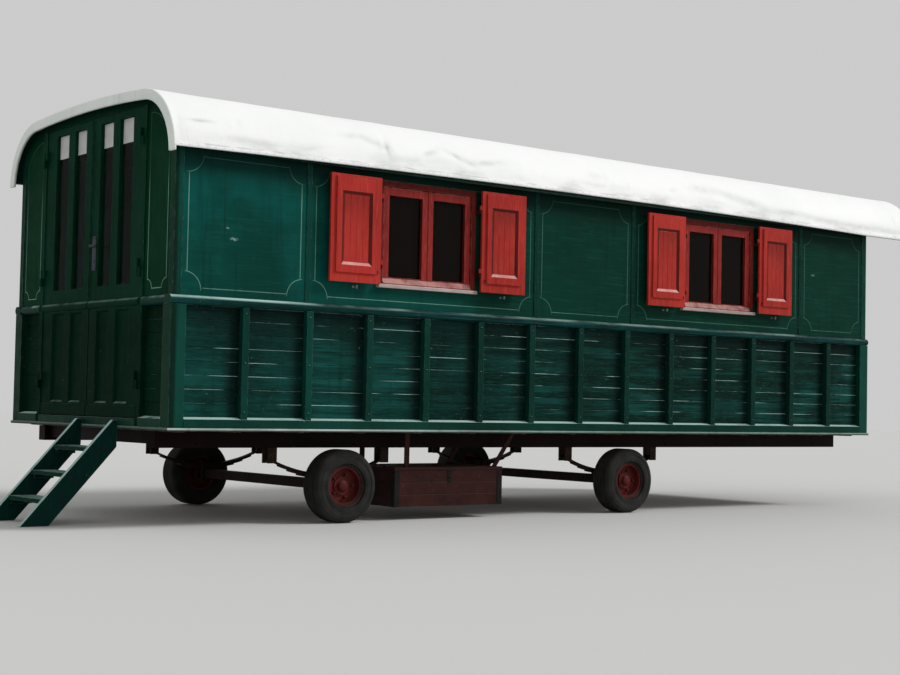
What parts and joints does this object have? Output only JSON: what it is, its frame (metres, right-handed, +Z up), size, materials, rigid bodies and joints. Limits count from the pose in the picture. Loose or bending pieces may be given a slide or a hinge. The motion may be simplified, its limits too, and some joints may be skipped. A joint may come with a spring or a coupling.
{
  "type": "showman's living wagon",
  "caption": "Long green boarded living wagon on axles, with a rounded white roof, red shuttered windows, glazed double doors and a short flight of steps.",
  "frame": {"origin": "middle of the part's footprint on the ground", "axes": "+X along the body, away from the double doors; +Y across it towards the far side; +Z up"},
  "size_m": [8.482, 2.6176, 2.93],
  "materials": {
    "chassis_paint": "matt maroon paint",
    "running_gear": "dull, rusted",
    "spring_steel": "dull, rusted",
    "floor_timber": "bare boards",
    "body_green": "satin green paint",
    "board_green": "satin green paint",
    "panel_green": "satin green paint",
    "door_green": "satin green paint",
    "drip_metal": "pale, worn",
    "step_green": "worn green paint",
    "pane_glass": "clear",
    "lock_steel": "grey-blue satin",
    "window_red": "satin red paint",
    "sill_paint": "pale worn paint",
    "hinge_iron": "black",
    "shutter_red": "satin red paint",
    "roof_boards": "bare boards",
    "roof_white": "matt white membrane",
    "box_paint": "worn maroon paint",
    "tyre_rubber": "matt black",
    "rim_maroon": "worn maroon paint"
  },
  "bodies": {
    "wagon": {"chassis_rails": "chassis_paint", "cross_members": "chassis_paint", "axles": "running_gear", "spring_sets": "spring_steel", "floor_bearers": "floor_timber", "floor_deck": "floor_timber", "corner_posts": "body_green", "bottom_rails": "body_green", "drip_edge": "drip_metal", "near_lower_wall": "board_green", "far_lower_wall": "board_green", "end_lower_walls": "board_green", "wall_ribs": "body_green", "waist_rails": "body_green", "near_upper_wall": "panel_green", "far_upper_wall": "panel_green", "end_upper_walls": "panel_green", "door_jambs": "body_green", "window_frames": "window_red", "window_glass": "pane_glass", "window_sills": "sill_paint", "shutter_brackets": "hinge_iron", "far_shutters": "shutter_red", "roof_deck": "roof_boards", "roof_cover": "roof_white", "step_stringers": "step_green", "step_treads": "step_green", "underfloor_box": "box_paint"},
    "near_door": {"near_door_leaf": "door_green", "near_door_glass": "pane_glass", "door_lock": "lock_steel"},
    "far_door": {"far_door_leaf": "door_green", "far_door_glass": "pane_glass"},
    "shutter_1": {"near_shutter_1": "shutter_red"},
    "shutter_2": {"near_shutter_2": "shutter_red"},
    "shutter_3": {"near_shutter_3": "shutter_red"},
    "shutter_4": {"near_shutter_4": "shutter_red"},
    "front_near_wheel": {"front_near_tyre": "tyre_rubber", "front_near_rim": "rim_maroon"},
    "front_far_wheel": {"front_far_tyre": "tyre_rubber", "front_far_rim": "rim_maroon"},
    "rear_near_wheel": {"rear_near_tyre": "tyre_rubber", "rear_near_rim": "rim_maroon"},
    "rear_far_wheel": {"rear_far_tyre": "tyre_rubber", "rear_far_rim": "rim_maroon"}
  },
  "joints": [
    {"name": "near_door_hinge", "type": "hinge", "parent": "wagon", "child": "near_door", "pos_m": [-3.575, -0.766, 1.7], "axis": [0, 0, 1], "range_deg": [0, 110]},
    {"name": "far_door_hinge", "type": "hinge", "parent": "wagon", "child": "far_door", "pos_m": [-3.575, 0.766, 1.7], "axis": [0, 0, 1], "range_deg": [-110, 0]},
    {"name": "shutter_1_hinge", "type": "hinge", "parent": "wagon", "child": "shutter_1", "pos_m": [-1.941, -1.278, 2.06], "axis": [0, 0, 1], "range_deg": [0, 180]},
    {"name": "shutter_2_hinge", "type": "hinge", "parent": "wagon", "child": "shutter_2", "pos_m": [-1.047, -1.278, 2.06], "axis": [0, 0, 1], "range_deg": [-180, 0]},
    {"name": "shutter_3_hinge", "type": "hinge", "parent": "wagon", "child": "shutter_3", "pos_m": [1.15, -1.278, 2.06], "axis": [0, 0, 1], "range_deg": [0, 180]},
    {"name": "shutter_4_hinge", "type": "hinge", "parent": "wagon", "child": "shutter_4", "pos_m": [2.044, -1.278, 2.06], "axis": [0, 0, 1], "range_deg": [-180, 0]},
    {"name": "front_near_axle", "type": "hinge", "parent": "wagon", "child": "front_near_wheel", "pos_m": [-2.089, -1.033, 0.258], "axis": [0, 1, 0], "continuous": true},
    {"name": "front_far_axle", "type": "hinge", "parent": "wagon", "child": "front_far_wheel", "pos_m": [-2.089, 1.033, 0.258], "axis": [0, 1, 0], "continuous": true},
    {"name": "rear_near_axle", "type": "hinge", "parent": "wagon", "child": "rear_near_wheel", "pos_m": [0.696, -1.033, 0.258], "axis": [0, 1, 0], "continuous": true},
    {"name": "rear_far_axle", "type": "hinge", "parent": "wagon", "child": "rear_far_wheel", "pos_m": [0.696, 1.033, 0.258], "axis": [0, 1, 0], "continuous": true}
  ]
}
